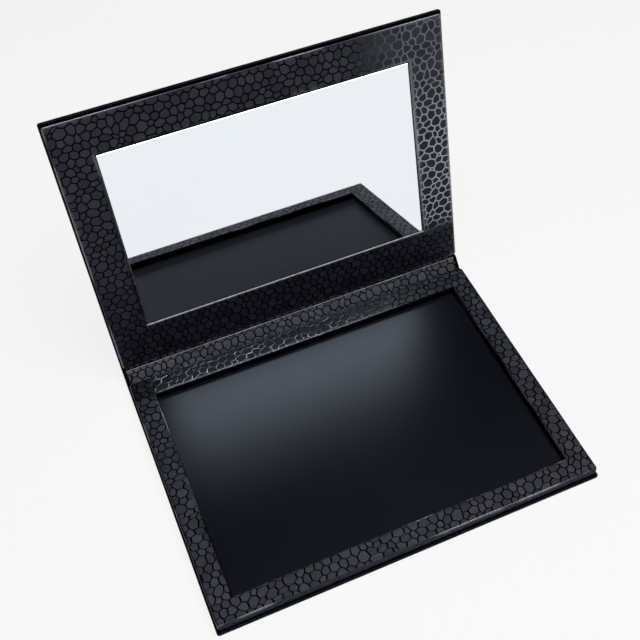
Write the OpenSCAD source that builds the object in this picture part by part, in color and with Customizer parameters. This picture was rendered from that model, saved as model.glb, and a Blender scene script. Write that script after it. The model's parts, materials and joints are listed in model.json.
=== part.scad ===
// Book-bound magnetic palette case: a shallow tray with a magnetic floor,
// and a mirror lid that swings on a rigid spine between two paper creases.
// Origin: centre of the base's underside. +X right, +Y towards the hinge, +Z up.

/* [Case boards] */
// Width of the cover boards with their paper, left to right
case_w = 195; // [150:1:260]
// Depth of each cover board with its paper, hinge edge to free edge
case_d = 145; // [110:1:200]
// Thickness of the greyboard in the covers, the spine and the mirror panel
board_t = 1.6; // [1.2:0.1:2.4]
// Thickness of the embossed covering paper
paper_t = 0.2; // [0.15:0.05:0.3]
// How far the covers stand proud of the tray and of the mirror panel
square_w = 1; // [0.6:0.1:2]
// Rounding of the wrapped edges of the cover boards
cover_edge_r = 0.6; // [0.4:0.1:0.8]
// Rounding of the board corners, seen from above
corner_r = 1.2; // [0.8:0.1:2.5]
// Width of the paper turned in over the boards' inner side
turn_in = 14; // [8:1:20]

/* [Tray] */
// Width of the rails round the well, paper included
rail_w = 11; // [9:0.5:16]
// Thickness of each of the two stacked frame boards
frame_board_t = 2.6; // [2:0.1:4]
// Rounding of the tray's outer top edge
tray_edge_r = 0.9; // [0.5:0.1:1.4]
// Rounding of the tray's inner top edge, round the well
well_edge_r = 0.7; // [0.4:0.1:1]
// Width of the paper turned in behind the tray frame and the mirror panel
frame_turn_in = 4; // [2:0.5:4]
// Thickness of the card under the magnetic sheet
card_t = 0.5; // [0.3:0.1:1]
// Thickness of the magnetic sheet
magnet_sheet_t = 0.9; // [0.5:0.1:1.2]
// Thickness of the satin film on the magnetic sheet
film_t = 0.1; // [0.08:0.01:0.2]
// Gap between the floor sheets and the walls of the well
floor_gap = 0.3; // [0.1:0.1:1]

/* [Mirror] */
// Distance from each side of the lid to the mirror
mirror_side = 20; // [15:0.5:40]
// Distance from the lid's free edge to the mirror
mirror_top = 21.5; // [15:0.5:40]
// Distance from the lid board's hinge edge to the mirror
mirror_bottom = 24; // [15:0.5:40]
// Thickness of the mirror glass
glass_t = 1.3; // [1:0.1:1.4]
// Width of the seamed edge round the glass
glass_seam = 0.2; // [0.1:0.05:0.3]
// Thickness of the silver and its backing paint
silver_t = 0.1; // [0.06:0.01:0.2]
// Gap between the glass and the opening of its panel
glass_gap = 0.35; // [0.2:0.05:1]
// Number of tape strips behind the mirror
tape_count = 3; // [2:1:4]
// Width of one tape strip
tape_w = 24; // [15:1:30]
// How far the mirror lies below the panel's face
mirror_recess = 0.3; // [0.1:0.1:0.5]

/* [Closure magnets] */
// Diameter of the disc magnets
magnet_dia = 8; // [5:0.5:8]
// Thickness of the disc magnets
magnet_t = 1.4; // [0.8:0.1:1.4]
// Distance from each side of the case to its magnet
magnet_inset = 29.5; // [12:0.5:60]
// Radial gap round a magnet in its pocket
magnet_gap = 0.1; // [0.05:0.05:0.2]

/* [Hinge] */
// Paper joint between a cover board and its crease
cover_joint = 1.9; // [1.9:0.1:3]
// Paper joint between the spine board and its crease
spine_joint = 1.3; // [1:0.1:2]
// Running clearance round a crease's bead
crease_gap = 0.05; // [0.03:0.01:0.08]
// How far the inner hinge paper laps onto a cover board
liner_lap = 12; // [6:1:20]
// Bare strip between the inner hinge paper and the ends of the case
liner_inset = 2; // [1:0.5:4]
// Gap between the tray and the mirror panel when the case is closed
closed_gap = 0.3; // [0.2:0.1:1]
// Spine's angle up from lying flat behind the base
spine_angle = 48; // [0:1:90]
// Lid's angle up from lying flat behind the base
lid_angle = 78.5; // [60:0.5:130]

/* [Hidden] */
$fn = 48;
over = 1;
sheet_corner_r = 0.5;
cover_t = board_t + 2 * paper_t;
axis_h = 2 * paper_t;
board_r = cover_edge_r - paper_t;

// Heights in the base
tray_h = 2 * frame_board_t + 2 * paper_t;
tray_top = cover_t + tray_h;
card_top = cover_t + card_t;
magnet_sheet_top = card_top + magnet_sheet_t;
floor_top = magnet_sheet_top + film_t;

// Heights in the lid, counted from its outer face
panel_t = board_t + 2 * paper_t;
lid_t = cover_t + panel_t;
glass_top = lid_t - mirror_recess;
glass_bottom = glass_top - glass_t;
silver_bottom = glass_bottom - silver_t;
tape_bottom = paper_t + board_t;

// Tray and panel outlines, counted from the crease line of their cover
near_edge = cover_joint + square_w;
far_edge = cover_joint + case_d - square_w;
inner_half_w = case_w / 2 - square_w;
well_half_w = inner_half_w - rail_w;
well_near = near_edge + rail_w;
well_far = far_edge - rail_w;
mirror_w = case_w - 2 * mirror_side;
mirror_near = cover_joint + mirror_bottom;
mirror_far = cover_joint + case_d - mirror_top;
opening_low = [-mirror_w / 2, mirror_near] - [glass_gap, glass_gap];
opening_high = [mirror_w / 2, mirror_far] + [glass_gap, glass_gap];
magnet_x = case_w / 2 - magnet_inset;
magnet_y = far_edge - rail_w / 2;

// Creases
spine_span = tray_top + lid_t + closed_gap - 2 * axis_h;
base_axis_y = case_d / 2 + cover_joint;
lid_axis_y = base_axis_y + spine_span * cos(spine_angle);
lid_axis_z = axis_h + spine_span * sin(spine_angle);
liner_half_w = case_w / 2 - liner_inset;

// ---- Directions: a flat outline carried along X, along Y or up ----

module along_x(x0, x1)
    translate([x0, 0, 0])
        rotate([90, 0, 90])
            linear_extrude(height = x1 - x0)
                children();

module along_y(y0, y1)
    translate([0, y1, 0])
        rotate([90, 0, 0])
            linear_extrude(height = y1 - y0)
                children();

module box(low, high)
    translate(low)
        cube(high - low);

// ---- Outlines ----

// Rectangle from low to high with true quarter-round corners
module round_rect(low, high, r) {
    size = high - low;
    translate(low + [r, 0])
        square([size.x - 2 * r, size.y]);
    translate(low + [0, r])
        square([size.x, size.y - 2 * r]);
    for (x = [low.x + r, high.x - r], y = [low.y + r, high.y - r])
        translate([x, y])
            circle(r = r);
}

// Opening from a to b, up through the height top, that flares out over round lips
module lipped_slot(a, b, bottom, top, r) {
    translate([a, bottom])
        square([b - a, top - bottom + over]);
    difference() {
        translate([a - r, top - r])
            square([b - a + 2 * r, r + over]);
        for (x = [a - r, b + r])
            translate([x, top - r])
                circle(r = r);
    }
}

// ---- Blocks ----

// Board-like block whose long edges are all rounded by r and its corners by corner
module soft_block(low, high, r, corner) {
    intersection() {
        along_y(low.y, high.y)
            round_rect([low.x, low.z], [high.x, high.z], r);
        along_x(low.x, high.x)
            round_rect([low.y, low.z], [high.y, high.z], r);
        translate([0, 0, low.z])
            linear_extrude(height = high.z - low.z)
                round_rect([low.x, low.y], [high.x, high.y], corner);
    }
}

// Same block with square edges below and at its near side, for wrapped boards
module topped_block(low, high, r, corner) {
    intersection() {
        soft_block(low - [0, 0, 2 * r], high, r, corner);
        box([low.x, low.y, low.z], high + [0, 0, over]);
    }
}

// Straight-walled hole with round lips on all four sides
module lipped_hole(low, high, r) {
    intersection() {
        along_y(low.y - 2 * r, high.y + 2 * r)
            lipped_slot(low.x, high.x, low.z, high.z, r);
        along_x(low.x - 2 * r, high.x + 2 * r)
            lipped_slot(low.y, high.y, low.z, high.z, r);
    }
}

// Back of a wrapped frame that its turned-in paper leaves bare; the frame's hole
// runs from low to high
module bare_back(low, high) {
    turn = [frame_turn_in, frame_turn_in];
    outer_low = [-inner_half_w, near_edge] + turn;
    outer_high = [inner_half_w, far_edge] - turn;
    inner_low = low - turn;
    inner_high = high + turn;
    difference() {
        box(
            [outer_low.x, outer_low.y, cover_t - over],
            [outer_high.x, outer_high.y, cover_t + 1.5 * paper_t]
        );
        box(
            [inner_low.x, inner_low.y, cover_t - 2 * over],
            [inner_high.x, inner_high.y, cover_t + over]
        );
    }
}

// Flat sheet or plate with small round corners
module sheet(low, high)
    translate([0, 0, low.z])
        linear_extrude(height = high.z - low.z)
            round_rect([low.x, low.y], [high.x, high.y], sheet_corner_r);

// ---- Places: each assembly is drawn lying open, with its crease along X,
//      its outer face at height 0 and its free edge towards +Y ----

module in_base()
    translate([0, base_axis_y, 0])
        mirror([0, 1, 0])
            children();

module in_spine()
    translate([0, base_axis_y, axis_h])
        rotate([spine_angle, 0, 0])
            translate([0, 0, -axis_h])
                children();

module in_lid()
    translate([0, lid_axis_y, lid_axis_z])
        rotate([lid_angle, 0, 0])
            translate([0, 0, -axis_h])
                children();

// ---- Cover: board, wrapping paper and inner hinge paper ----

// The covered board, shrunk by inset on every side; rounded on its three free sides
module cover_core(inset) {
    r = cover_edge_r - inset;
    intersection() {
        soft_block(
            [-case_w / 2 + inset, cover_joint + inset - 3 * r, inset],
            [case_w / 2 - inset, cover_joint + case_d - inset, cover_t - inset],
            r,
            corner_r - inset
        );
        box(
            [-case_w / 2, cover_joint + paper_t, 0],
            [case_w / 2, cover_joint + case_d, cover_t]
        );
    }
}

// Paper bead of the crease, on the hinge's axis
module crease_bead(r)
    translate([0, 0, axis_h])
        rotate([0, 90, 0])
            cylinder(h = case_w, r = r, center = true);

// Outer paper: under the board, round its free edges, turned in, and out to the crease
module cover_paper() {
    difference() {
        cover_core(0);
        cover_core(paper_t);
        // window left by the turned-in paper
        box(
            [-case_w / 2 + turn_in, cover_joint, cover_t - paper_t],
            [case_w / 2 - turn_in, cover_joint + case_d - turn_in, cover_t + over]
        );
        // seat of the inner hinge paper
        box(
            [-liner_half_w, cover_joint, cover_t - paper_t],
            [liner_half_w, cover_joint + liner_lap, cover_t + over]
        );
    }
    box([-case_w / 2, 0, 0], [case_w / 2, cover_joint + paper_t, paper_t]);
    crease_bead(axis_h);
}

module cover_board()
    cover_core(paper_t);

// Inner hinge paper: from the bead, up the board's edge and onto the board
module hinge_liner() {
    difference() {
        along_x(-liner_half_w, liner_half_w)
            polygon([
                [0, paper_t],
                [cover_joint + paper_t, paper_t],
                [cover_joint + paper_t, cover_t - paper_t],
                [cover_joint + liner_lap, cover_t - paper_t],
                [cover_joint + liner_lap, cover_t],
                [cover_joint, cover_t],
                [cover_joint, axis_h],
                [0, axis_h]
            ]);
        crease_bead(axis_h);
    }
}

// ---- Base ----

module base_cover_paper()
    color([0.10, 0.10, 0.11])
        in_base()
            cover_paper();

module base_board()
    color([0.55, 0.53, 0.50])
        in_base()
            cover_board();

module base_hinge_liner()
    color([0.12, 0.12, 0.13])
        in_base()
            hinge_liner();

// ---- Tray ----

// The wrapped tray ring, shrunk by inset
module tray_ring(inset) {
    difference() {
        topped_block(
            [-inner_half_w + inset, near_edge + inset, cover_t + inset],
            [inner_half_w - inset, far_edge - inset, tray_top - inset],
            tray_edge_r - inset,
            corner_r - inset
        );
        lipped_hole(
            [-well_half_w - inset, well_near - inset, cover_t - over],
            [well_half_w + inset, well_far + inset, tray_top - inset],
            well_edge_r - inset
        );
    }
}

// One of the two stacked boards of the tray frame
module frame_board(level) {
    z0 = cover_t + paper_t + level * frame_board_t;
    intersection() {
        tray_ring(paper_t);
        box(
            [-inner_half_w, near_edge, z0],
            [inner_half_w, far_edge, z0 + frame_board_t]
        );
    }
}

// Pocket or disc on the closure magnets' line, at one side of the case
module on_magnet_line(side, z)
    translate([side * magnet_x, magnet_y, z])
        children();

module tray_frame_lower()
    color([0.55, 0.53, 0.50])
        in_base()
            frame_board(0);

module tray_frame_upper()
    color([0.58, 0.56, 0.53])
        in_base()
            difference() {
                frame_board(1);
                for (side = [-1, 1])
                    on_magnet_line(side, tray_top - paper_t - magnet_t)
                        cylinder(h = magnet_t + over, d = magnet_dia + 2 * magnet_gap);
            }

module tray_wrap_paper()
    color([0.11, 0.11, 0.12])
        in_base()
            difference() {
                tray_ring(0);
                tray_ring(paper_t);
                bare_back([-well_half_w, well_near], [well_half_w, well_far]);
            }

module tray_magnet(side)
    color([0.75, 0.75, 0.78])
        in_base()
            on_magnet_line(side, tray_top - paper_t - magnet_t)
                cylinder(h = magnet_t, d = magnet_dia);

module tray_magnet_left()
    tray_magnet(-1);

module tray_magnet_right()
    tray_magnet(1);

// Sheet that fills the floor of the well between two heights
module floor_sheet(z0, z1)
    in_base()
        sheet(
            [-well_half_w + floor_gap, well_near + floor_gap, z0],
            [well_half_w - floor_gap, well_far - floor_gap, z1]
        );

module floor_card()
    color([0.20, 0.20, 0.20])
        floor_sheet(cover_t, card_top);

module magnetic_sheet()
    color([0.16, 0.15, 0.15])
        floor_sheet(card_top, magnet_sheet_top);

module floor_film()
    color([0.07, 0.07, 0.08])
        floor_sheet(magnet_sheet_top, floor_top);

// ---- Spine ----

// Section of the spine across its length, shrunk by inset
module spine_core(inset) {
    r = cover_edge_r - inset;
    intersection() {
        along_y(spine_joint, spine_span - spine_joint)
            round_rect(
                [-case_w / 2 + inset, inset],
                [case_w / 2 - inset, cover_t - inset],
                r
            );
        box(
            [-case_w / 2, spine_joint, 0],
            [case_w / 2, spine_span - spine_joint, cover_t]
        );
    }
}

// Room for the two beads that the spine's paper turns on
module bead_seats()
    for (y = [0, spine_span])
        translate([0, y, axis_h])
            rotate([0, 90, 0])
                cylinder(h = case_w + 2 * over, r = axis_h + crease_gap, center = true);

module spine_board()
    color([0.55, 0.53, 0.50])
        in_spine()
            spine_core(paper_t);

module spine_cover_paper()
    color([0.10, 0.10, 0.11])
        in_spine()
            difference() {
                union() {
                    difference() {
                        spine_core(0);
                        spine_core(paper_t);
                        box(
                            [-liner_half_w, 0, cover_t - paper_t],
                            [liner_half_w, spine_span, cover_t + over]
                        );
                    }
                    box([-case_w / 2, 0, 0], [case_w / 2, spine_span, paper_t]);
                }
                bead_seats();
            }

module spine_liner()
    color([0.12, 0.12, 0.13])
        in_spine()
            difference() {
                along_x(-liner_half_w, liner_half_w)
                    polygon([
                        [0, paper_t],
                        [spine_joint, paper_t],
                        [spine_joint, cover_t - paper_t],
                        [spine_span - spine_joint, cover_t - paper_t],
                        [spine_span - spine_joint, paper_t],
                        [spine_span, paper_t],
                        [spine_span, axis_h],
                        [spine_span - spine_joint + paper_t, axis_h],
                        [spine_span - spine_joint + paper_t, cover_t],
                        [spine_joint - paper_t, cover_t],
                        [spine_joint - paper_t, axis_h],
                        [0, axis_h]
                    ]);
                bead_seats();
            }

// ---- Lid ----

module lid_cover_paper()
    color([0.10, 0.10, 0.11])
        in_lid()
            cover_paper();

module lid_board()
    color([0.55, 0.53, 0.50])
        in_lid()
            cover_board();

module lid_hinge_liner()
    color([0.12, 0.12, 0.13])
        in_lid()
            hinge_liner();

// ---- Mirror panel ----

// The wrapped panel round the mirror, shrunk by inset
module panel_ring(inset) {
    difference() {
        topped_block(
            [-inner_half_w + inset, near_edge + inset, cover_t + inset],
            [inner_half_w - inset, far_edge - inset, lid_t - inset],
            cover_edge_r - inset,
            corner_r - inset
        );
        lipped_hole(
            [opening_low.x - inset, opening_low.y - inset, cover_t - over],
            [opening_high.x + inset, opening_high.y + inset, lid_t - inset],
            cover_edge_r - inset
        );
    }
}

module mirror_panel_board()
    color([0.58, 0.56, 0.53])
        in_lid()
            difference() {
                intersection() {
                    panel_ring(paper_t);
                    box(
                        [-inner_half_w, near_edge, cover_t + paper_t],
                        [inner_half_w, far_edge, lid_t - paper_t]
                    );
                }
                for (side = [-1, 1])
                    on_magnet_line(side, cover_t)
                        cylinder(h = panel_t, d = magnet_dia + 2 * magnet_gap);
            }

module mirror_panel_wrap_paper()
    color([0.11, 0.11, 0.12])
        in_lid()
            difference() {
                panel_ring(0);
                panel_ring(paper_t);
                bare_back(opening_low, opening_high);
            }

// Plate the size of the mirror between two heights
module mirror_plate(z0, z1)
    sheet([-mirror_w / 2, mirror_near, z0], [mirror_w / 2, mirror_far, z1]);

module mirror_tape()
    color([0.85, 0.84, 0.80])
        in_lid()
            for (i = [0 : tape_count - 1]) {
                x = (i - (tape_count - 1) / 2) * (mirror_w - 2 * tape_w) / (tape_count - 1);
                box(
                    [x - tape_w / 2, mirror_near + tape_w / 4, tape_bottom],
                    [x + tape_w / 2, mirror_far - tape_w / 4, silver_bottom]
                );
            }

module mirror_silvering()
    color([0.80, 0.82, 0.84])
        in_lid()
            mirror_plate(silver_bottom, glass_bottom);

// Glass with its edges seamed on the front
module mirror_glass()
    color([0.86, 0.90, 0.93])
        in_lid()
            intersection() {
                mirror_plate(glass_bottom, glass_top);
                along_y(mirror_near - over, mirror_far + over)
                    seamed_section(-mirror_w / 2, mirror_w / 2);
                along_x(-mirror_w / 2 - over, mirror_w / 2 + over)
                    seamed_section(mirror_near, mirror_far);
            }

module seamed_section(a, b)
    polygon([
        [a, glass_bottom],
        [b, glass_bottom],
        [b, glass_top - glass_seam],
        [b - glass_seam, glass_top],
        [a + glass_seam, glass_top],
        [a, glass_top - glass_seam]
    ]);

module lid_magnet(side)
    color([0.75, 0.75, 0.78])
        in_lid()
            on_magnet_line(side, lid_t - paper_t - magnet_t)
                cylinder(h = magnet_t, d = magnet_dia);

module lid_magnet_left()
    lid_magnet(-1);

module lid_magnet_right()
    lid_magnet(1);

base_cover_paper();
base_board();
base_hinge_liner();
tray_frame_lower();
tray_frame_upper();
tray_wrap_paper();
tray_magnet_left();
tray_magnet_right();
floor_card();
magnetic_sheet();
floor_film();
spine_board();
spine_cover_paper();
spine_liner();
lid_cover_paper();
lid_board();
lid_hinge_liner();
mirror_panel_board();
mirror_panel_wrap_paper();
mirror_tape();
mirror_silvering();
mirror_glass();
lid_magnet_left();
lid_magnet_right();
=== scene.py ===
"""Book-bound magnetic palette case, dressed on its CAD frame."""

import json
import math

import bmesh
import bpy
import numpy as np
from mathutils import Matrix, Vector


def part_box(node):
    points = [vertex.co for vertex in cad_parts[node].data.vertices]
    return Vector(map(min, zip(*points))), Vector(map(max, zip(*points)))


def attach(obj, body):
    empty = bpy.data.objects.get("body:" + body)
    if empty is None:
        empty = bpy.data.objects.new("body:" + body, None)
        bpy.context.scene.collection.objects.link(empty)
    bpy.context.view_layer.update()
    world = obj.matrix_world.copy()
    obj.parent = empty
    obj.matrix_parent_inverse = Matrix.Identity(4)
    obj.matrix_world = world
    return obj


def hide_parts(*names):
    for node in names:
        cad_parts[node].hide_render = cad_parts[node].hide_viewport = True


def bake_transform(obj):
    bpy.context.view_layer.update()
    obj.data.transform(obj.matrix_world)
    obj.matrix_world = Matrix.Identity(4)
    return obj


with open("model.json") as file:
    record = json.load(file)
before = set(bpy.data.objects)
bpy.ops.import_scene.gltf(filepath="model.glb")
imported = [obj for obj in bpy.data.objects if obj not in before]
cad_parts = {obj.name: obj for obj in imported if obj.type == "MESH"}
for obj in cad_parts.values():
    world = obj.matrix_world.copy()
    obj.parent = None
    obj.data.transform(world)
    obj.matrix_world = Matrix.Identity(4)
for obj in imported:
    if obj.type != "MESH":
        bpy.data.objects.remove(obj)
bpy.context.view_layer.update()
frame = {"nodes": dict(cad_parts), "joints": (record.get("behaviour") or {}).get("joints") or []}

# ---- Greyboard ----
# Every stiff part is pressed grey board, die-cut: the two covers, the spine,
# the two stacked frames of the tray and the panel round the mirror. The paper
# hides all of it.


class Wire:
    """One output of a node. Arithmetic on wires adds the Math nodes that do it."""

    def __init__(self, bench, socket):
        self.bench = bench
        self.socket = socket

    def work(self, operation, *values):
        inputs = dict(enumerate(values))
        return self.bench.add("ShaderNodeMath", {"operation": operation}, inputs)[0]

    def then(self, operation, *others):
        return self.work(operation, self, *others)

    def __add__(self, other):
        return self.work("ADD", self, other)

    def __sub__(self, other):
        return self.work("SUBTRACT", self, other)

    def __rsub__(self, other):
        return self.work("SUBTRACT", other, self)

    def __mul__(self, other):
        return self.work("MULTIPLY", self, other)

    def __truediv__(self, other):
        return self.work("DIVIDE", self, other)

    def __gt__(self, other):
        return self.work("GREATER_THAN", self, other)

    def __mod__(self, other):
        return self.work("MODULO", self, other)

    __radd__ = __add__
    __rmul__ = __mul__

    def ramp(self, low, high):
        """0 below low, 1 above high and smooth between them."""
        settings = {"interpolation_type": "SMOOTHSTEP"}
        inputs = {"Value": self, "From Min": low, "From Max": high}
        return self.bench.add("ShaderNodeMapRange", settings, inputs)[0]


class Node:
    """A node whose outputs are read by name or by number."""

    def __init__(self, bench, node):
        self.bench = bench
        self.node = node

    def __getitem__(self, key):
        return Wire(self.bench, self.node.outputs[key])


class Bench:
    """A node tree that is being built, for a material or for a mesh."""

    def __init__(self, tree):
        self.tree = tree

    def put(self, socket, value):
        if isinstance(value, Wire):
            self.tree.links.new(value.socket, socket)
        else:
            socket.default_value = value

    def add(self, kind, settings=None, inputs=None):
        node = self.tree.nodes.new(kind)
        for name, value in (settings or {}).items():
            setattr(node, name, value)
        for key, value in (inputs or {}).items():
            self.put(node.inputs[key], value)
        return Node(self, node)

    def noise(self, place, scale, detail=2.0, stretch=(1, 1, 1)):
        """Noise from 0 to 1, with scale in turns per metre."""
        inputs = {"Vector": place, "Scale": stretch}
        spread = self.add("ShaderNodeMapping", {"vector_type": "POINT"}, inputs)
        inputs = {"Vector": spread["Vector"], "Scale": scale, "Detail": detail}
        return self.add("ShaderNodeTexNoise", None, inputs)[0]

    def mix(self, share, first, second):
        """Colour between two colours."""
        settings = {"data_type": "RGBA"}
        return self.add("ShaderNodeMix", settings, {0: share, 6: first, 7: second})[2]


def colour(red, green, blue):
    return (red, green, blue, 1.0)


class Finish(Bench):
    """A material with one Principled surface."""

    def __init__(self, name, **plain):
        self.material = bpy.data.materials.new(name)
        self.material.use_nodes = True
        super().__init__(self.material.node_tree)
        self.surface = self.tree.nodes["Principled BSDF"]
        self.place = self.add("ShaderNodeTexCoord")["Object"]
        for key, value in plain.items():
            self.set(key.replace("_", " "), value)

    def set(self, key, value):
        self.put(self.surface.inputs[key], value)

    def attribute(self, name):
        return self.add("ShaderNodeAttribute", {"attribute_name": name})["Fac"]

    def relief(self, height, depth):
        """Fine relief of the surface, depth metres from its lowest to its highest."""
        inputs = {"Height": height, "Distance": depth, "Strength": 1.0}
        self.set("Normal", self.add("ShaderNodeBump", None, inputs)["Normal"])


def greyboard_finish():
    finish = Finish("pressed greyboard", Roughness=0.92)
    fibres = finish.noise(finish.place, 900, 4, (1, 3, 3))
    specks = finish.noise(finish.place, 2600, 1).ramp(0.66, 0.72)
    pulp = finish.mix(fibres.ramp(0.3, 0.7), colour(0.25, 0.235, 0.21), colour(0.34, 0.32, 0.29))
    finish.set("Base Color", finish.mix(specks, pulp, colour(0.10, 0.09, 0.08)))
    finish.relief(fibres, 0.00015)
    return finish.material


greyboard = greyboard_finish()
boards = (
    "base_board",
    "tray_frame_lower",
    "tray_frame_upper",
    "spine_board",
    "lid_board",
    "mirror_panel_board",
)


def dress(name, material):
    """Gives a CAD node its finish."""
    node = frame["nodes"][name]
    node.data.materials.clear()
    node.data.materials.append(material)


for board in boards:
    dress(board, greyboard)

# ---- Embossed covering paper ----
# Thin black lacquered paper covers everything. A heated plate has pressed a net
# of grooves into it, which leaves flat scales in rough rows. The lacquer is
# glossy in the grooves and satin on the crowns.

MM = 0.001
paper_t = 0.2 * MM
face_level = -0.95 * paper_t
scale_pitch = 4.4 * MM
row_pitch = 3.9 * MM
scale_wander = 0.46
groove_half = 0.42 * MM
groove_depth = 0.12 * MM
scale_corner = 0.32
groove_black = colour(0.0040, 0.0041, 0.0055)
# pale metal that the grooves take where painted reflection is put on them
painted_reflection_colour = colour(0.31, 0.33, 0.37)
crown_dark = colour(0.0028, 0.0038, 0.0080)
crown_light = colour(0.0045, 0.0058, 0.0110)
lacquer_tint = colour(0.66, 0.69, 0.77)
# no painted reflection, full crown sheen and full lip gloss
no_painted_light = (0.0, 1.0, 1.0)


# Painted light, from the place on the case and each from 0 to 1: painted reflection in the grooves,
# sheen the crowns keep where painted shade dulls them, and how glossy the rubbed lips are.
def panel_painted_light(place, cloud):
    """Painted reflection in the grooves at the panel's right end; painted shade on the crowns
    beside the hinge and a little under that painted reflection; glossier lips beside the
    hinge and at the top-left corner.
    """
    height = place["Z"]
    across = (place["X"] + cloud * (10 * MM)).ramp(50 * MM, 88 * MM)
    # painted reflection: grooves shine over the right end, from a little above the hinge, fading towards
    # the top
    painted_groove_reflection = across * height.ramp(30 * MM, 42 * MM) * (1 - 0.6 * height.ramp(80 * MM, 140 * MM))
    # painted shade: crowns keep less sheen beside the hinge and where the grooves carry painted
    # reflection
    painted_crown_shine = (0.6 + 0.4 * height.ramp(20 * MM, 80 * MM)) * (1 - 0.3 * painted_groove_reflection)
    corner = height.ramp(142 * MM, 150 * MM) * (1 - place["X"].ramp(-75 * MM, -30 * MM))
    return painted_groove_reflection, painted_crown_shine, 1 - 0.85 * height.ramp(34 * MM, 44 * MM) * (1 - corner)


def tray_painted_light(place, cloud):
    """Painted reflection in the grooves and painted shade on the crowns along the tray's rear rail."""
    across = (place["X"] + cloud * (40 * MM)).ramp(20 * MM, 90 * MM)
    rear = (1 - across) * place["Y"].ramp(58 * MM, 61 * MM)
    # painted reflection at half strength in the rear grooves, painted shade on the rear crowns, full lip
    # gloss
    return rear * place["X"].ramp(-88 * MM, -80 * MM) * 0.5, 1 - 0.6 * rear, 1.0


def paper_finish(name, index, lip_gloss, painted_light=None):
    """Embossed black paper. Lip is where it is rubbed round an edge, flank what is turned over it."""
    finish = Finish(name, IOR=index, Coat_IOR=1.85, Coat_Roughness=0.15, Specular_Tint=lacquer_tint)
    tone = finish.attribute("tone")
    lip = finish.attribute("lip")
    flank = finish.attribute("flank")
    grain = finish.noise(finish.place, 2400, 3)
    cloud = finish.noise(finish.place, 60, 2)
    place = finish.add("ShaderNodeSeparateXYZ", None, {0: finish.place})
    # painted reflection in the grooves and painted shade on the crowns, by place
    painted_groove_reflection, painted_crown_shine, gloss = painted_light(place, cloud) if painted_light else no_painted_light
    worn = finish.noise(finish.place, 34, 2).ramp(0.5, 0.62)
    rubbed = lip * worn.then("MAXIMUM", gloss * lip_gloss)
    # paper turned over an edge takes the dark glossy groove finish: painted shade that darkens the side
    # walls
    top = finish.attribute("crown").ramp(0.72, 0.98) * (1 - lip.then("MAXIMUM", flank))
    top = top.then("MAXIMUM", rubbed * 0.9)
    # grooves turn from black to pale metal where painted reflection is put, but not on turned-over paper
    groove = finish.mix((1 - flank) * painted_groove_reflection, groove_black, painted_reflection_colour)
    crown = finish.mix(tone, crown_dark, crown_light)
    finish.set("Base Color", finish.mix(top, groove, crown))
    # crowns dulled by painted shade lean to metal over their near-black colour, which darkens them
    finish.set("Metallic", 1 - top * (0.6 + 0.4 * tone) * painted_crown_shine)
    finish.set("Roughness", 0.2 + top * (0.3 + 0.08 * tone) + 0.06 * cloud)
    finish.set("Coat Weight", rubbed)
    finish.relief(grain * 0.2 + finish.noise(finish.place, 380, 2), 0.00014)
    return finish.material


paper = paper_finish("embossed paper", index=1.97, lip_gloss=0.1)
tray_paper = paper_finish("embossed tray paper", index=1.97, lip_gloss=0.1, painted_light=tray_painted_light)
panel_paper = paper_finish("embossed panel paper", index=1.67, lip_gloss=1.0, painted_light=panel_painted_light)
hinge_paper = paper_finish("embossed hinge paper", index=2.15, lip_gloss=0.6)


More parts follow.
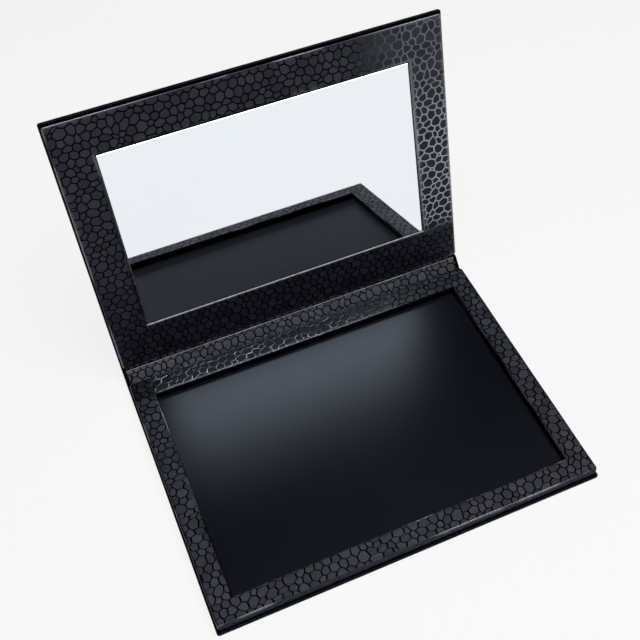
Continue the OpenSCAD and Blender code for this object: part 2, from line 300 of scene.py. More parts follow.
def embossing_tree(material):
    """Mesh nodes for a flat embossed sheet, its crowns at height 0, over a plain back."""
    bench = Bench(bpy.data.node_groups.new("scale embossing", "GeometryNodeTree"))
    inputs = {}
    for name, kind, value in (
        ("Width", "NodeSocketFloat", 0.1),
        ("Depth", "NodeSocketFloat", 0.1),
        ("Columns", "NodeSocketInt", 20),
        ("Rows", "NodeSocketInt", 20),
        ("Wander", "NodeSocketFloat", scale_wander),
        ("Groove half", "NodeSocketFloat", groove_half),
        ("Groove depth", "NodeSocketFloat", groove_depth),
        ("Corner", "NodeSocketFloat", scale_corner),
        ("Paper", "NodeSocketFloat", paper_t),
        ("Seed", "NodeSocketInt", 1),
    ):
        socket = bench.tree.interface.new_socket(name=name, in_out="INPUT", socket_type=kind)
        socket.default_value = value
        inputs[name] = socket.identifier
    bench.tree.interface.new_socket(name="Geometry", in_out="OUTPUT", socket_type="NodeSocketGeometry")
    given = bench.add("NodeGroupInput")
    position = bench.add("GeometryNodeInputPosition")["Position"]
    place = bench.add("ShaderNodeSeparateXYZ", None, {0: position})

    # a grid whose odd rows are shifted by half a scale, each point moved about a little
    size = {"Size X": given["Width"], "Size Y": given["Depth"]}
    count = {"Vertices X": given["Columns"], "Vertices Y": given["Rows"]}
    grid = bench.add("GeometryNodeMeshGrid", None, {**size, **count})
    pitch = given["Width"] / (given["Columns"] - 1)
    rise = given["Depth"] / (given["Rows"] - 1)
    row = ((place["Y"] + given["Depth"] * 0.5) / rise).then("ROUND")
    stagger = bench.add("ShaderNodeCombineXYZ", None, {"X": (row % 2 - 0.5) * pitch * 0.5})
    span = {0: (-1, -1, 0), 1: (1, 1, 0), "Seed": given["Seed"]}
    drift = bench.add("FunctionNodeRandomValue", {"data_type": "FLOAT_VECTOR"}, span)
    stray = {0: drift[0], "Scale": given["Wander"] * pitch}
    stray = bench.add("ShaderNodeVectorMath", {"operation": "SCALE"}, stray)
    shift = bench.add("ShaderNodeVectorMath", {"operation": "ADD"}, {0: stagger[0], 1: stray[0]})
    points = bench.add("GeometryNodeSetPosition", None, {"Geometry": grid[0], "Offset": shift[0]})

    # the scales are the cells round those points
    settings = {"quad_method": "SHORTEST_DIAGONAL"}
    net = bench.add("GeometryNodeTriangulate", settings, {"Mesh": points[0]})
    cells = bench.add("GeometryNodeDualMesh", None, {"Mesh": net[0]})
    settings = {"data_type": "FLOAT", "domain": "FACE"}
    luck = bench.add("FunctionNodeRandomValue", {"data_type": "FLOAT"}, {"Seed": given["Seed"]})
    tone = {"Geometry": cells[0], "Name": "tone", "Value": luck[1]}
    cells = bench.add("GeometryNodeStoreNamedAttribute", settings, tone)

    # each scale is raised out of the groove net with sloping sides
    down = bench.add("ShaderNodeCombineXYZ", None, {"Z": given["Groove depth"] * -1})
    low = bench.add("GeometryNodeTransform", None, {"Geometry": cells[0], "Translation": down[0]})
    raised = {"Mesh": low[0], "Offset Scale": given["Groove depth"], "Individual": True}
    raised = bench.add("GeometryNodeExtrudeMesh", {"mode": "FACES"}, raised)
    area = bench.add("GeometryNodeInputMeshFaceArea")["Area"]
    shrink = 1 - given["Groove half"] * 2 / area.then("SQRT")
    tops = {"Geometry": raised["Mesh"], "Selection": raised["Top"], "Scale": shrink}
    tops = bench.add("GeometryNodeScaleElements", {"domain": "FACE"}, tops)

    # rounding that keeps flat crowns and sharp valleys: only the edges between them are left soft
    at_top = place["Z"] > -0.001 * MM
    settings = {"domain": "EDGE", "data_type": "FLOAT"}
    share = bench.add("GeometryNodeFieldOnDomain", settings, {"Value": at_top})[0]
    level = ((share - 0.5).then("ABSOLUTE")) > 0.49
    keep_corner = at_top * given["Corner"]
    round_off = {"Mesh": tops[0], "Level": 1, "Edge Crease": level, "Vertex Crease": keep_corner}
    round_off["Limit Surface"] = False
    rounded = bench.add("GeometryNodeSubdivisionSurface", None, round_off)
    settings = {"data_type": "FLOAT", "domain": "POINT"}
    height = place["Z"] / given["Groove depth"] + 1
    crown = {"Geometry": rounded[0], "Name": "crown", "Value": height}
    crowned = bench.add("GeometryNodeStoreNamedAttribute", settings, crown)
    bend = bench.add("GeometryNodeInputMeshEdgeAngle")["Unsigned Angle"] > math.radians(10)
    rim = {0: crowned[0], "Selection": (share > 0.99) * bend > 0.5, "Shade Smooth": False}
    crisp = bench.add("GeometryNodeSetShadeSmooth", {"domain": "EDGE"}, rim)

    # plain back of the paper
    flipped = bench.add("GeometryNodeFlipFaces", None, {"Mesh": cells[0]})
    under = bench.add("ShaderNodeCombineXYZ", None, {"Z": given["Paper"] * -1})
    back = {"Geometry": flipped[0], "Translation": under[0]}
    back = bench.add("GeometryNodeTransform", None, back)
    both = bench.add("GeometryNodeJoinGeometry", None, {0: crisp[0]})
    bench.put(both.node.inputs[0], back[0])
    real = bench.add("GeometryNodeRealizeInstances", None, {0: both[0]})
    done = bench.add("GeometryNodeSetMaterial", None, {0: real[0], "Material": material})
    bench.add("NodeGroupOutput", None, {0: done[0]})
    return bench.tree, inputs


embossing, embossing_inputs = embossing_tree(paper)


def embossed_sheet(low, high, seed):
    """Flat embossed paper that reaches past the rectangle from low to high on all sides."""
    spare_scales = 5
    columns = math.ceil((high[0] - low[0]) / scale_pitch) + spare_scales
    rows = math.ceil((high[1] - low[1]) / row_pitch) + spare_scales
    carrier = bpy.data.objects.new("roll", bpy.data.meshes.new("roll"))
    bpy.context.scene.collection.objects.link(carrier)
    press = carrier.modifiers.new("embossing", "NODES")
    press.node_group = embossing
    for name, value in (
        ("Width", (columns - 1) * scale_pitch),
        ("Depth", (rows - 1) * row_pitch),
        ("Columns", columns),
        ("Rows", rows),
        ("Seed", seed),
    ):
        press[embossing_inputs[name]] = value
    bpy.context.view_layer.update()
    pressed = carrier.evaluated_get(bpy.context.evaluated_depsgraph_get())
    mesh = bpy.data.meshes.new_from_object(pressed)
    bpy.data.objects.remove(carrier)
    middle = ((low[0] + high[0]) / 2, (low[1] + high[1]) / 2, 0)
    mesh.transform(Matrix.Translation(middle))
    sheet = bmesh.new()
    sheet.from_mesh(mesh)
    bpy.data.meshes.remove(mesh)
    loose = [v for v in sheet.verts if not v.link_faces]
    bmesh.ops.delete(sheet, geom=loose, context="VERTS")
    return sheet


def slice_sheet(sheet, planes, low, high):
    """Cuts a sheet along upright planes, through the faces whose centres lie from low to high."""
    faces = []
    for face in sheet.faces:
        x, y, _ = face.calc_center_bounds()
        if low[0] < x < high[0] and low[1] < y < high[1]:
            faces.append(face)
    geometry = faces + list({e for f in faces for e in f.edges} | {v for f in faces for v in f.verts})
    for point, across in planes:
        done = bmesh.ops.bisect_plane(sheet, geom=geometry, dist=1e-7, plane_co=point, plane_no=across)
        geometry = done["geom"]


def cut(sheet, axis, lines):
    """Cuts a sheet along neighbouring lines of constant X (axis 0) or Y (axis 1)."""
    across = Vector((axis == 0, axis == 1, 0))
    reach = 2 * scale_pitch
    low, high = [-1.0, -1.0], [1.0, 1.0]
    low[axis], high[axis] = min(lines) - reach, max(lines) + reach
    slice_sheet(sheet, [(across * line, across) for line in lines], low, high)


def sides(outline):
    return zip(outline, outline[1:] + outline[:1])


def holds(outline, point):
    """True if a square-cornered outline holds the point."""
    crossed = 0
    for (ax, ay), (bx, by) in sides(outline):
        if ax == bx and ax > point.x and min(ay, by) < point.y < max(ay, by):
            crossed += 1
    return crossed % 2 == 1


def trim(sheet, outline, keep_inside=True):
    """Cuts a sheet to a square-cornered outline and closes the paper's cut edges."""
    for (ax, ay), (bx, by) in sides(outline):
        axis = 0 if ax == bx else 1
        cut(sheet, axis, [(ax, ay)[axis]])
    waste = [f for f in sheet.faces if holds(outline, f.calc_center_median()) != keep_inside]
    bmesh.ops.delete(sheet, geom=waste, context="FACES")
    rim = {v for e in sheet.edges if e.is_boundary for v in e.verts}
    near = 0.001 * MM
    step_out = 50 * near
    for (ax, ay), (bx, by) in sides(outline):
        axis = 0 if ax == bx else 1
        at = (ax, ay)[axis]
        low, high = sorted(((ax, bx), (ay, by))[1 - axis])
        line = [v for v in rim if abs(v.co[axis] - at) < near]
        line = [v for v in line if low - near < v.co[1 - axis] < high + near]
        line.sort(key=lambda v: v.co[1 - axis])
        top = [v for v in line if v.co.z > face_level]
        back = [v for v in line if v.co.z <= face_level]
        edge = sheet.faces.new(top + back[::-1])
        edge.normal_update()
        outside = Vector((axis == 0, axis == 1, 0)) * step_out
        middle = Vector(((ax + bx) / 2, (ay + by) / 2, 0))
        if holds(outline, middle + outside) == keep_inside:
            outside = -outside
        if edge.normal.dot(outside) < 0:
            edge.normal_flip()


def rectangle(low, high):
    return [(low[0], low[1]), (high[0], low[1]), (high[0], high[1]), (low[0], high[1])]


# A fold is a list of (length, turn) along the paper: straight where turn is 0,
# bent away from the embossed side where it is positive. The paper is rubbed
# down with a bone folder at the outer edge of each fold, which flattens it.
rub_margin = 0.1 * MM
rub_down = 0.85
flank_down = 0.5
bend_facets = 3


def bend(radius, turn=math.pi / 2):
    return (radius * abs(turn), turn)


def follow(path, run):
    """Where the paper's face is after run along the path: reach out, rise and lean."""
    reach = np.zeros_like(run)
    rise = np.zeros_like(run)
    lean = np.zeros_like(run)
    left = run.copy()
    for length, turn in path:
        part = np.clip(left, 0, length)
        left = left - length
        if turn:
            radius = length / turn
            new = lean + part / radius
            reach += radius * (np.sin(new) - np.sin(lean))
            rise += radius * (np.cos(new) - np.cos(lean))
            lean = new
        else:
            reach += part * np.cos(lean)
            rise -= part * np.sin(lean)
    return reach, rise, lean


def path_length(path):
    return sum(length for length, turn in path)


def bend_lines(path):
    """Distances along the path where the paper is cut into facets for its bends."""
    lines = set()
    start = 0.0
    for length, turn in path:
        if turn:
            lines.update(round(start + length * i / bend_facets, 9) for i in range(bend_facets + 1))
        start += length
    return sorted(lines)


def burnished(path, run):
    """How far the paper is rubbed flat and shiny: 1 over the path's first bend, 0 elsewhere."""
    length = path[0][0]
    return np.clip(1.5 - np.abs(run - length / 2) / (length / 2 + rub_margin / 2) * 1.5 + 0.5, 0, 1)


def past_bend(path, run):
    """1 on the paper past the path's first bend, where turning it over has flattened it."""
    return np.clip((run - path[0][0]) / rub_margin, 0, 1)


def rub(points, path, run):
    """Embossed points with their relief rubbed down at the first bend and past it."""
    kept = 1 - np.maximum(rub_down * burnished(path, run), flank_down * past_bend(path, run))
    return np.where(points[:, 2] > face_level, points[:, 2] * kept, points[:, 2])


def score(sheet, centre, half, path, outward, both_ends=True):
    """Facets for folding a sheet over the edges of a rectangle, or down into a hole."""
    reach = path_length(path)
    way = 1 if outward else -1
    runs = [-rub_margin, path[0][0] + rub_margin] + bend_lines(path)
    for side in (-1, 1):
        cut(sheet, 0, [centre[0] + side * (half[0] + way * run) for run in runs])
        if half[1] is not None and (side > 0 or both_ends):
            cut(sheet, 1, [centre[1] + side * (half[1] + way * run) for run in runs])
    if half[1] is None:
        return
    for x_side in (-1, 1):
        for y_side in (-1, 1) if both_ends else (1,):
            corner = Vector((centre[0] + x_side * half[0], centre[1] + y_side * half[1], 0))
            far = corner + Vector((x_side * way * reach, y_side * way * reach, 0))
            low = (min(corner.x, far.x), min(corner.y, far.y))
            high = (max(corner.x, far.x), max(corner.y, far.y))
            slice_sheet(sheet, [(corner, Vector((x_side, -y_side, 0)).normalized())], low, high)


def fold(points, centre, half, path, outward, both_ends=True):
    """Folds the points of a flat sheet over the edges of a rectangle, or down into a hole."""
    way = 1 if outward else -1
    x = points[:, 0] - centre[0]
    y = points[:, 1] - centre[1]
    run_x = way * (np.abs(x) - half[0])
    if half[1] is None:
        run = run_x
        over_x = run_x > 0
        over_y = np.zeros_like(over_x)
        half_y = 1.0
    else:
        run_y = way * ((np.abs(y) if both_ends else y) - half[1])
        run = np.maximum(run_x, run_y) if outward else np.minimum(run_x, run_y)
        over_x = (run > 0) & (run_x == run)
        over_y = (run > 0) & ~over_x
        half_y = half[1]
    relief = rub(points, path, run)
    marks = {"lip": burnished(path, run), "flank": past_bend(path, run)}
    run = np.maximum(run, 0)
    reach, rise, lean = follow(path, run)
    reach = reach + relief * np.sin(lean)
    height = rise + relief * np.cos(lean)
    new_x = np.where(over_x, np.sign(x) * (half[0] + way * reach), x)
    new_y = np.where(over_y, np.sign(y) * (half_y + way * reach), y)
    if half[1] is not None:
        new_y = np.where(over_x, y * (half_y + way * reach) / (half_y + way * run), new_y)
    new_x = np.where(over_y, x * (half[0] + way * reach) / (half[0] + way * run), new_x)
    return np.column_stack((new_x + centre[0], new_y + centre[1], height)), marks


def round_corners(points, centre, half, radius, both_ends=True):
    """Turns the square corners of what lies inside a rectangle into round ones."""
    x = points[:, 0] - centre[0]
    y = points[:, 1] - centre[1]
    past_x = np.abs(x) - (half[0] - radius)
    past_y = (np.abs(y) if both_ends else y) - (half[1] - radius)
    in_corner = (past_x > 0) & (past_y > 0)
    far = np.maximum(past_x, past_y)
    ratio = np.where(in_corner, np.minimum(past_x, past_y) / np.where(in_corner, far, 1), 0)
    turn = np.where(past_x >= past_y, ratio, 2 - ratio) * math.pi / 4
    new = points.copy()
    new_x = np.sign(x) * (half[0] - radius + far * np.cos(turn)) + centre[0]
    new_y = np.sign(y) * (half[1] - radius + far * np.sin(turn)) + centre[1]
    new[:, 0] = np.where(in_corner, new_x, points[:, 0])
    new[:, 1] = np.where(in_corner, new_y, points[:, 1])
    return new


def to_mesh(name, sheet):
    mesh = bpy.data.meshes.new(name)
    sheet.to_mesh(mesh)
    sheet.free()
    return mesh


def points_of(mesh):
    points = np.empty(len(mesh.vertices) * 3, np.float32)
    mesh.vertices.foreach_get("co", points)
    return points.reshape(-1, 3).astype(float)


def place_points(mesh, points, marks):
    """Moves a mesh's points, and keeps what folding has done to the paper at each."""
    mesh.vertices.foreach_set("co", points.astype(np.float32).ravel())
    for name, share in marks.items():
        mesh.attributes.new(name, "FLOAT", "POINT").data.foreach_set("value", share.astype(np.float32))
    mesh.update()


def piece(name, mesh, place, material, slot, *nodes):
    """An object of its own, in the case's frame, that stands for CAD nodes."""
    mesh.transform(place)
    mesh.materials.clear()
    mesh.materials.append(material)
    made = bpy.data.objects.new(name, mesh)
    bpy.context.scene.collection.objects.link(made)
    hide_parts(*nodes)
    return made


# ---- Outer paper ----
# One sheet of paper covers the whole outside, from the base's free edge round
# the spine to the lid's free edge. It goes round the boards' edges and is
# turned in on the inner side, and only the two creases are left without board.

hinges = {joint["name"]: joint for joint in frame["joints"]}
base_crease = Vector(hinges["spine_hinge"]["pos_m"])
lid_crease = Vector(hinges["lid_hinge"]["pos_m"])
axis_h = base_crease.z
spine_tilt = math.radians(-hinges["spine_hinge"]["range_deg"][0])
lid_turn = math.radians(-hinges["lid_hinge"]["range_deg"][0])
span = (lid_crease - base_crease).length
cover_low, cover_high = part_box("base_cover_paper")
liner_low, liner_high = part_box("base_hinge_liner")
cover_half = cover_high.x
cover_t = cover_high.z
cover_far = base_crease.y - cover_low.y
cover_joint = base_crease.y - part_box("base_board")[1].y - paper_t
liner_half = liner_high.x
liner_lap = base_crease.y - liner_low.y
spine_joint = 1.1 * MM
valley_r = 0.25 * MM
cover_end = cover_joint - valley_r
spine_end = spine_joint - valley_r
cover_edge_r = 0.6 * MM
corner_r = 1.2 * MM
turn_in = 14 * MM

# Where things lie: an opened-out assembly has its crease along X at Y 0, its
# outer face at height 0 and its free edge towards +Y.
sink = Matrix.Translation((0, 0, -axis_h))
at_base = Matrix.Translation((0, base_crease.y, 0))
in_base = at_base @ Matrix.Rotation(math.pi, 4, "Z")
in_spine = Matrix.Translation(base_crease) @ Matrix.Rotation(spine_tilt, 4, "X") @ sink
in_lid = Matrix.Translation(lid_crease) @ Matrix.Rotation(spine_tilt + lid_turn, 4, "X") @ sink
face_down = Matrix.Rotation(math.pi, 4, "Y")


def edge_path(tuck):
    """Round the edge of a covered board and in by tuck over its other face."""
    wall = cover_t - 2 * cover_edge_r
    return [bend(cover_edge_r), (wall, 0), bend(cover_edge_r), (tuck - cover_edge_r, 0)]


edge_half = cover_half - cover_edge_r
edge_out = path_length(edge_path(turn_in))
short_path = edge_path(cover_half - liner_half)
short_out = path_length(short_path)
cover_reach = cover_far - cover_edge_r + edge_out
base_bend = axis_h * spine_tilt
lid_bend = axis_h * lid_turn
base_line = -(span + lid_bend + base_bend)
sheet_half = edge_half + edge_out
wrapper = embossed_sheet((-sheet_half, base_line - cover_reach), (sheet_half, cover_reach), seed=11)


def part_of(sheet, move, low, high):
    """A copy of the stretch of a sheet round a rectangle, moved to its own place."""
    part = sheet.copy()
    part.transform(move)
    margin = 2 * scale_pitch
    far = []
    for face in part.faces:
        x, y, _ = face.calc_center_bounds()
        if not (low[0] - margin < x < high[0] + margin and low[1] - margin < y < high[1] + margin):
            far.append(face)
    bmesh.ops.delete(part, geom=far, context="FACES")
    return part


def cover(name, move, place, node):
    """Paper of one cover board, from its free edge to the joint at the hinge."""
    path = edge_path(turn_in)
    centre = (0, cover_end)
    half = (edge_half, cover_far - cover_edge_r - cover_end)
    inner, side, far = edge_half + short_out, sheet_half, cover_reach
    outline = [
        (-inner, cover_end),
        (inner, cover_end),
        (inner, liner_lap),
        (side, liner_lap),
        (side, far),
        (-side, far),
        (-side, liner_lap),
        (-inner, liner_lap),
    ]
    sheet = part_of(wrapper, move, (-side, cover_end), (side, far))
    trim(sheet, outline)
    score(sheet, centre, half, path, True, both_ends=False)
    mesh = to_mesh(name, sheet)
    points, marks = fold(points_of(mesh), centre, half, path, True, both_ends=False)
    full = (cover_half, cover_far - cover_end)
    place_points(mesh, round_corners(points, centre, full, corner_r, both_ends=False), marks)
    return piece(name, mesh, place @ face_down, paper, "embossed_paper", node)


base_end_first = Matrix.Rotation(math.pi, 4, "Z") @ Matrix.Translation((0, -base_line, 0))
base_cover = cover("base_cover", base_end_first, in_base, "base_cover_paper")
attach(base_cover, "base")
lid_cover = cover("lid_cover", Matrix.Identity(4), in_lid, "lid_cover_paper")
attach(lid_cover, "lid")

spine_move = Matrix.Translation((0, span + lid_bend, 0))
spine_low = (-edge_half - short_out, spine_end)
spine_high = (edge_half + short_out, span - spine_end)
sheet = part_of(wrapper, spine_move, spine_low, spine_high)
trim(sheet, rectangle(spine_low, spine_high))
score(sheet, (0, 0), (edge_half, None), short_path, True)
mesh = to_mesh("spine_cover", sheet)
place_points(mesh, *fold(points_of(mesh), (0, 0), (edge_half, None), short_path, True))
spine_place = in_spine @ face_down
spine_cover = piece("spine_cover", mesh, spine_place, paper, "embossed_paper", "spine_cover_paper")
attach(spine_cover, "spine")

# ---- Hinge paper and creases ----
# A strip of the same paper is glued over the inner side of the hinge. It laps
# under the tray and the mirror panel and is boned down into the two joints,
# where it meets the outer paper: these two layers are all that bends.

shoulder_r = 0.5 * MM
crease_r = 0.05 * MM
wall = cover_t - axis_h - shoulder_r - valley_r


def lay(points, start, path):
    """Lays a strip along Y from start, its embossed side up, following the path."""
    reach, rise, lean = follow(path, points[:, 1])
    lip = np.zeros_like(reach)
    begun = 0.0
    for length, turn in path:
        if turn > 0:
            lip = np.maximum(lip, burnished([(length, turn)], points[:, 1] - begun))
        begun += length
    relief = np.where(points[:, 2] > face_level, points[:, 2] * (1 - rub_down * lip), points[:, 2])
    y = start[0] + reach + relief * np.sin(lean)
    z = start[1] + rise + relief * np.cos(lean)
    return np.column_stack((points[:, 0], y, z)), {"lip": lip}


def corner(before, radius, turn, after):
    """Straight, bend and straight whose straight lines meet where they would unrounded."""
    short = radius * math.tan(abs(turn) / 2)
    return [(before - short, 0), bend(radius, turn), (after - short, 0)]


def strip(name, roll, run, half, start, path):
    """The stretch of a roll that begins at run, laid along its path."""
    length = path_length(path)
    part = part_of(roll, Matrix.Translation((0, -run, 0)), (-half, 0), (half, length))
    trim(part, rectangle((-half, 0), (half, length)))
    cut(part, 1, bend_lines(path))
    mesh = to_mesh(name, part)
    place_points(mesh, *lay(points_of(mesh), start, path))
    return mesh


quarter = math.pi / 2
up_step = [bend(valley_r, -quarter), (wall, 0), bend(shoulder_r)]
down_step = [bend(shoulder_r), (wall, 0), bend(valley_r, -quarter)]
lap = (liner_lap - cover_joint - shoulder_r, 0)
back_flat = (span - 2 * (spine_joint + shoulder_r), 0)
base_liner_path = [lap] + down_step
spine_liner_path = up_step + [back_flat] + down_step
lid_liner_path = up_step + [lap]
base_inner_path = corner(cover_end, crease_r, -spine_tilt, spine_end)
lid_inner_path = corner(spine_end, crease_r, -lid_turn, cover_end)
base_outer_path = [(cover_end, 0), bend(axis_h, spine_tilt), (spine_end, 0)]
lid_outer_path = [(spine_end, 0), bend(axis_h, lid_turn), (cover_end, 0)]

order = (base_liner_path, base_inner_path, spine_liner_path, lid_inner_path, lid_liner_path)
starts = [sum(path_length(p) for p in order[:i]) for i in range(len(order) + 1)]
roll = embossed_sheet((-liner_half, 0), (liner_half, starts[-1]), seed=14)

mesh = strip("base_hinge_paper", roll, starts[0], liner_half, (-liner_lap, cover_t), base_liner_path)
base_hinge_paper = piece(
    "base_hinge_paper", mesh, at_base, hinge_paper, "embossed_paper", "base_hinge_liner"
)
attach(base_hinge_paper, "base")

mesh = strip("spine_hinge_paper", roll, starts[2], liner_half, (spine_end, axis_h), spine_liner_path)
spine_hinge_paper = piece(
    "spine_hinge_paper", mesh, in_spine, hinge_paper, "embossed_paper", "spine_liner"
)
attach(spine_hinge_paper, "spine")

mesh = strip("lid_hinge_paper", roll, starts[4], liner_half, (cover_end, axis_h), lid_liner_path)
lid_hinge_paper = piece(
    "lid_hinge_paper", mesh, in_lid, hinge_paper, "embossed_paper", "lid_hinge_liner"
)
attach(lid_hinge_paper, "lid")


def crease(name, inner_run, inner_path, outer_run, outer_path, y, place):
    """The two glued layers of paper at one crease."""
    inner = strip(name, roll, inner_run, liner_half, (y, axis_h), inner_path)
    outer = strip(name, wrapper, outer_run, cover_half, (y, 0), outer_path)
    outer.transform(face_down)
    layers = bmesh.new()
    layers.from_mesh(inner)
    layers.from_mesh(outer)
    bpy.data.meshes.remove(inner)
    bpy.data.meshes.remove(outer)
    return piece(name, to_mesh(name, layers), place, paper, "embossed_paper")


def bend_at(made, axis, low_way, high_way, turn):
    """Bakes a crease's placement into its mesh; the span either side of the axis is worked out but not
    used.
    """
    across = (low_way + high_way).normalized() * axis_h * math.sin(turn / 2)
    axis - across
    axis + across
    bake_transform(made)


along_base = Vector((0, 1, 0))
along_spine = in_spine.to_3x3() @ along_base
along_lid = in_lid.to_3x3() @ along_base
base_joint_run = base_line - cover_end
lid_joint_run = -lid_bend - spine_end
base_joint = crease(
    "base_crease", starts[1], base_inner_path, base_joint_run, base_outer_path, -cover_end, at_base
)
bend_at(base_joint, base_crease, along_base, along_spine, spine_tilt)
lid_joint = crease(
    "lid_crease", starts[3], lid_inner_path, lid_joint_run, lid_outer_path, span - spine_end, in_spine
)
bend_at(lid_joint, lid_crease, along_spine, along_lid, lid_turn)
wrapper.free()
roll.free()

# ---- Tray ----
# Two die-cut frames of board, one on the other, make the shallow tray. Its
# paper is wrapped over the rails with round lips, down the outer walls and
# down the walls of the well, and turned in beneath.

tray_low, tray_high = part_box("tray_wrap_paper")
film_low, film_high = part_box("floor_film")
floor_gap = 0.3 * MM
tray_edge_r = 0.55 * MM
well_edge_r = 0.45 * MM
foot_r = 0.3 * MM
frame_turn_in = 4 * MM


def wrapped_frame(name, seed, low, high, hole_low, hole_high, thickness, edge_r, lip_r):
    """Paper wrapped round a flat frame: a mesh whose top face is at height 0."""

    def wall_path(radius):
        wall = thickness - radius - foot_r
        return [bend(radius), (wall, 0), bend(foot_r), (frame_turn_in - foot_r, 0)]

    middle = ((low[0] + high[0]) / 2, (low[1] + high[1]) / 2)
    full = ((high[0] - low[0]) / 2, (high[1] - low[1]) / 2)
    half = (full[0] - edge_r, full[1] - edge_r)
    hole_middle = ((hole_low[0] + hole_high[0]) / 2, (hole_low[1] + hole_high[1]) / 2)
    hole_half = ((hole_high[0] - hole_low[0]) / 2 + lip_r, (hole_high[1] - hole_low[1]) / 2 + lip_r)
    outer, inner = wall_path(edge_r), wall_path(lip_r)
    out, down = path_length(outer), path_length(inner)
    sheet_low = (middle[0] - half[0] - out, middle[1] - half[1] - out)
    sheet_high = (middle[0] + half[0] + out, middle[1] + half[1] + out)
    cut_low = (hole_middle[0] - hole_half[0] + down, hole_middle[1] - hole_half[1] + down)
    cut_high = (hole_middle[0] + hole_half[0] - down, hole_middle[1] + hole_half[1] - down)
    sheet = embossed_sheet(sheet_low, sheet_high, seed)
    trim(sheet, rectangle(cut_low, cut_high), keep_inside=False)
    trim(sheet, rectangle(sheet_low, sheet_high))
    score(sheet, middle, half, outer, True)
    score(sheet, hole_middle, hole_half, inner, False)
    mesh = to_mesh(name, sheet)
    flat = points_of(mesh)
    x, y = flat[:, 0] - hole_middle[0], flat[:, 1] - hole_middle[1]
    outside, outer_marks = fold(flat, middle, half, outer, True)
    outside = round_corners(outside, middle, full, corner_r)
    inside, inner_marks = fold(flat, hole_middle, hole_half, inner, False)
    # the flat between the two folds is alike in both, but for the rubbed margin of the hole
    beside = 1.5 * rub_margin
    near_hole = (np.abs(x) < hole_half[0] + beside) & (np.abs(y) < hole_half[1] + beside)
    marks = {mark: np.where(near_hole, inner_marks[mark], outer_marks[mark]) for mark in outer_marks}
    place_points(mesh, np.where(near_hole[:, None], inside, outside), marks)
    return mesh


well_low = film_low - Vector((floor_gap, floor_gap, 0))
well_high = film_high + Vector((floor_gap, floor_gap, 0))
tray_mesh = wrapped_frame(
    "tray_wrap",
    seed=13,
    low=tray_low,
    high=tray_high,
    hole_low=well_low,
    hole_high=well_high,
    thickness=tray_high.z - tray_low.z,
    edge_r=tray_edge_r,
    lip_r=well_edge_r,
)
tray_place = Matrix.Translation((0, 0, tray_high.z))
tray_wrap = piece("tray_wrap", tray_mesh, tray_place, tray_paper, "embossed_paper", "tray_wrap_paper")
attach(tray_wrap, "base")

# ---- Floor of the well ----
# Card, magnetic rubber sheet and a thin satin film, one on the other on the
# base board. Magnetic pans stand on the film: black, even and a little silky.


def card_finish():
    finish = Finish("black card", Roughness=0.85)
    fibres = finish.noise(finish.place, 1200, 4, (1, 4, 4))
    finish.set("Base Color", finish.mix(fibres, colour(0.012, 0.012, 0.013), colour(0.030, 0.029, 0.028)))
    finish.relief(fibres, 0.00008)
    return finish.material


def rubber_finish():
    finish = Finish("magnetic rubber", Roughness=0.62)
    grain = finish.noise(finish.place, 1500, 3)
    rolled = finish.noise(finish.place, 300, 2, (0.05, 1, 1))
    finish.set("Base Color", finish.mix(rolled, colour(0.020, 0.018, 0.017), colour(0.034, 0.030, 0.028)))
    finish.relief(grain, 0.00005)
    return finish.material


def film_finish():
    finish = Finish("satin film", IOR=1.445, Specular_Tint=colour(0.71, 0.82, 1.0))
    haze = finish.noise(finish.place, 14, 3)
    grain = finish.noise(finish.place, 3000, 2)
    finish.set("Base Color", finish.mix(haze, colour(0.001, 0.001, 0.0013), colour(0.002, 0.002, 0.0025)))
    finish.set("Roughness", 0.3 + 0.05 * haze)
    finish.relief(grain, 0.000008)
    return finish.material


dress("floor_card", card_finish())
dress("magnetic_sheet", rubber_finish())
dress("floor_film", film_finish())

# ---- Closure magnets ----
# Nickel-plated discs in pockets under the paper, two in the tray's front rail
# and two in the lid, which meet face to face when the case is shut.


def plating_finish():
    finish = Finish("nickel plating", Metallic=1.0)
    turned_marks = finish.noise(finish.place, 1800, 2, (1, 1, 0.1))
    finish.set("Base Color", finish.mix(turned_marks, colour(0.62, 0.60, 0.56), colour(0.72, 0.70, 0.66)))
    finish.set("Roughness", 0.18 + 0.14 * turned_marks)
    return finish.material


plating = plating_finish()
for node in ("tray_magnet_left", "tray_magnet_right", "lid_magnet_left", "lid_magnet_right"):
    dress(node, plating)

# ---- Mirror panel ----
# A board with a window, wrapped in the same paper and glued inside the lid.
# The paper runs over the window's lips and down beside the glass.


def local_box(node, place):
    """Lowest and highest corner of a CAD node in the frame of an assembly."""
    back = place.inverted()
    points = np.array([back @ v.co for v in frame["nodes"][node].data.vertices])
    return Vector(points.min(0)), Vector(points.max(0))


glass_gap = 0.35 * MM
window_edge_r = 1.0 * MM
panel_low, panel_high = local_box("mirror_panel_wrap_paper", in_lid)
glass_low, glass_high = local_box("mirror_glass", in_lid)
gap = Vector((glass_gap, glass_gap, 0))
panel_mesh = wrapped_frame(
    "panel_wrap",
    seed=15,
    low=panel_low,
    high=panel_high,
    hole_low=glass_low - gap,
    hole_high=glass_high + gap,
    thickness=panel_high.z - panel_low.z,
    edge_r=cover_edge_r,
    lip_r=window_edge_r,
)
panel_place = in_lid @ Matrix.Translation((0, 0, panel_high.z))
panel_wrap = piece(
    "panel_wrap", panel_mesh, panel_place, panel_paper, "embossed_paper", "mirror_panel_wrap_paper"
)
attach(panel_wrap, "lid")

# ---- Mirror ----
# Thin float glass, silvered on the back and held by strips of foam tape. Its
# edges are seamed, and the glass lies a little below the panel's face.


def tape_finish():
    finish = Finish("foam tape", Roughness=0.8)
    foam = finish.noise(finish.place, 2200, 4)
    finish.set("Base Color", finish.mix(foam, colour(0.62, 0.61, 0.57), colour(0.74, 0.73, 0.69)))
    finish.relief(foam, 0.0001)
    return finish.material


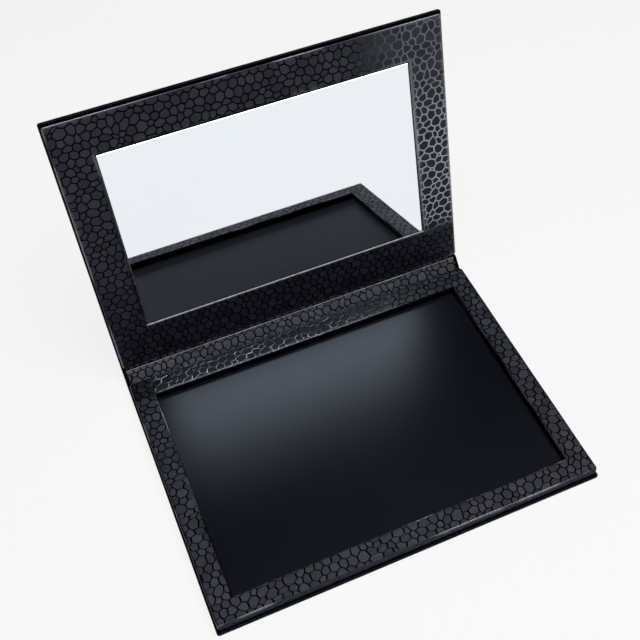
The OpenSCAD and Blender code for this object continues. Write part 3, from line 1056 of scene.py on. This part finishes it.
def mirror_finish():
    finish = Finish("silvered glass", Metallic=1.0)
    ripple = finish.noise(finish.place, 9, 1)
    finish.set("Base Color", finish.mix(ripple, colour(0.86, 0.90, 0.92), colour(0.88, 0.92, 0.94)))
    finish.set("Roughness", 0.012 + 0.01 * ripple)
    return finish.material


def silver_finish():
    finish = Finish("silver and backing paint", Metallic=0.6)
    cloud = finish.noise(finish.place, 400, 2)
    finish.set("Base Color", finish.mix(cloud, colour(0.45, 0.46, 0.47), colour(0.55, 0.56, 0.57)))
    finish.set("Roughness", 0.25 + 0.1 * cloud)
    return finish.material


dress("mirror_tape", tape_finish())
dress("mirror_silvering", silver_finish())
dress("mirror_glass", mirror_finish())

# ---- Studio ----
# A pale round bowl of paper under one wide soft box. The camera stands in
# front, a little to the left, and looks down on the open case.

bowl_flat_r = 1.3
bowl_bend_r = 0.5
bowl_height = 0.6
bend_steps = 12
spokes = 72
glow_share = 0.8


def bowl_finish():
    """Pale paper, which shows white to the eye and in the mirror and keeps its shadows."""
    finish = Finish("backdrop paper", Base_Color=colour(0.8, 0.8, 0.8), Roughness=0.9)
    seen = finish.add("ShaderNodeLightPath")
    shown = seen["Is Camera Ray"].then("MAXIMUM", seen["Is Glossy Ray"])
    shown = shown.then("MAXIMUM", seen["Is Transmission Ray"])
    glow = finish.add("ShaderNodeEmission", None, {"Color": colour(1.0, 1.0, 1.0), "Strength": 1.0})
    surface = Wire(finish, finish.surface.outputs[0])
    mixed = finish.add("ShaderNodeMixShader", None, {0: shown * glow_share, 1: surface, 2: glow[0]})
    finish.put(finish.tree.nodes["Material Output"].inputs["Surface"], mixed[0])
    return finish.material


bowl_profile = [(bowl_flat_r, 0.0)]
for step in range(1, bend_steps + 1):
    angle = math.pi / 2 * step / bend_steps
    radius = bowl_flat_r + bowl_bend_r * math.sin(angle)
    bowl_profile.append((radius, bowl_bend_r * (1 - math.cos(angle))))
bowl_profile.append((bowl_flat_r + bowl_bend_r, bowl_height))
rings = bmesh.new()
hub = rings.verts.new((0, 0, 0))
last = None
for radius, height in bowl_profile:
    ring = []
    for spoke in range(spokes):
        angle = 2 * math.pi * spoke / spokes
        ring.append(rings.verts.new((radius * math.cos(angle), radius * math.sin(angle), height)))
    for spoke in range(spokes):
        after = (spoke + 1) % spokes
        if last:
            rings.faces.new((last[spoke], ring[spoke], ring[after], last[after]))
        else:
            rings.faces.new((hub, ring[spoke], ring[after]))
    last = ring
for face in rings.faces:
    face.smooth = True
bowl = bpy.data.objects.new("floor", to_mesh("floor", rings))
bpy.context.scene.collection.objects.link(bowl)
bowl.data.materials.append(bowl_finish())

camera = bpy.data.objects.new("camera", bpy.data.cameras.new("camera"))
bpy.context.scene.collection.objects.link(camera)
bpy.context.scene.camera = camera
picture_px = 640
sensor_mm = 36
focal_px = 1039.4
centre_px = (357.8, 308.3)
eye = Vector((-101.37, -268.56, 444.32)) * MM
right = Vector((0.91623, -0.3996, -0.02921))
down = Vector((-0.32476, -0.69797, -0.63825))
ahead = Vector((0.23465, 0.59427, -0.76927))
view = Matrix((right, -down, -ahead)).transposed().to_4x4()
camera.matrix_world = Matrix.Translation(eye) @ view
camera.data.sensor_width = sensor_mm
camera.data.lens = focal_px / picture_px * sensor_mm
camera.data.shift_x = (picture_px / 2 - centre_px[0]) / picture_px
camera.data.shift_y = (centre_px[1] - picture_px / 2) / picture_px
camera.data.clip_start = 0.01

world = bpy.data.worlds.new("room")
bpy.context.scene.world = world
world.use_nodes = True
world.node_tree.nodes["Background"].inputs["Color"].default_value = colour(0.03, 0.03, 0.03)

light = bpy.data.lights.new("soft box", "AREA")
light.shape = "RECTANGLE"
light.size = 1.3
light.size_y = 0.95
light.energy = 17.0
box_place = Vector((0.1, -0.4, 1.2))
box_aim = Vector((0, 0, 0.03))
soft_box = bpy.data.objects.new("soft box", light)
bpy.context.scene.collection.objects.link(soft_box)
soft_box.location = box_place
soft_box.rotation_euler = (box_aim - box_place).to_track_quat("-Z", "Y").to_euler()
bpy.context.scene.view_settings.view_transform = "Standard"
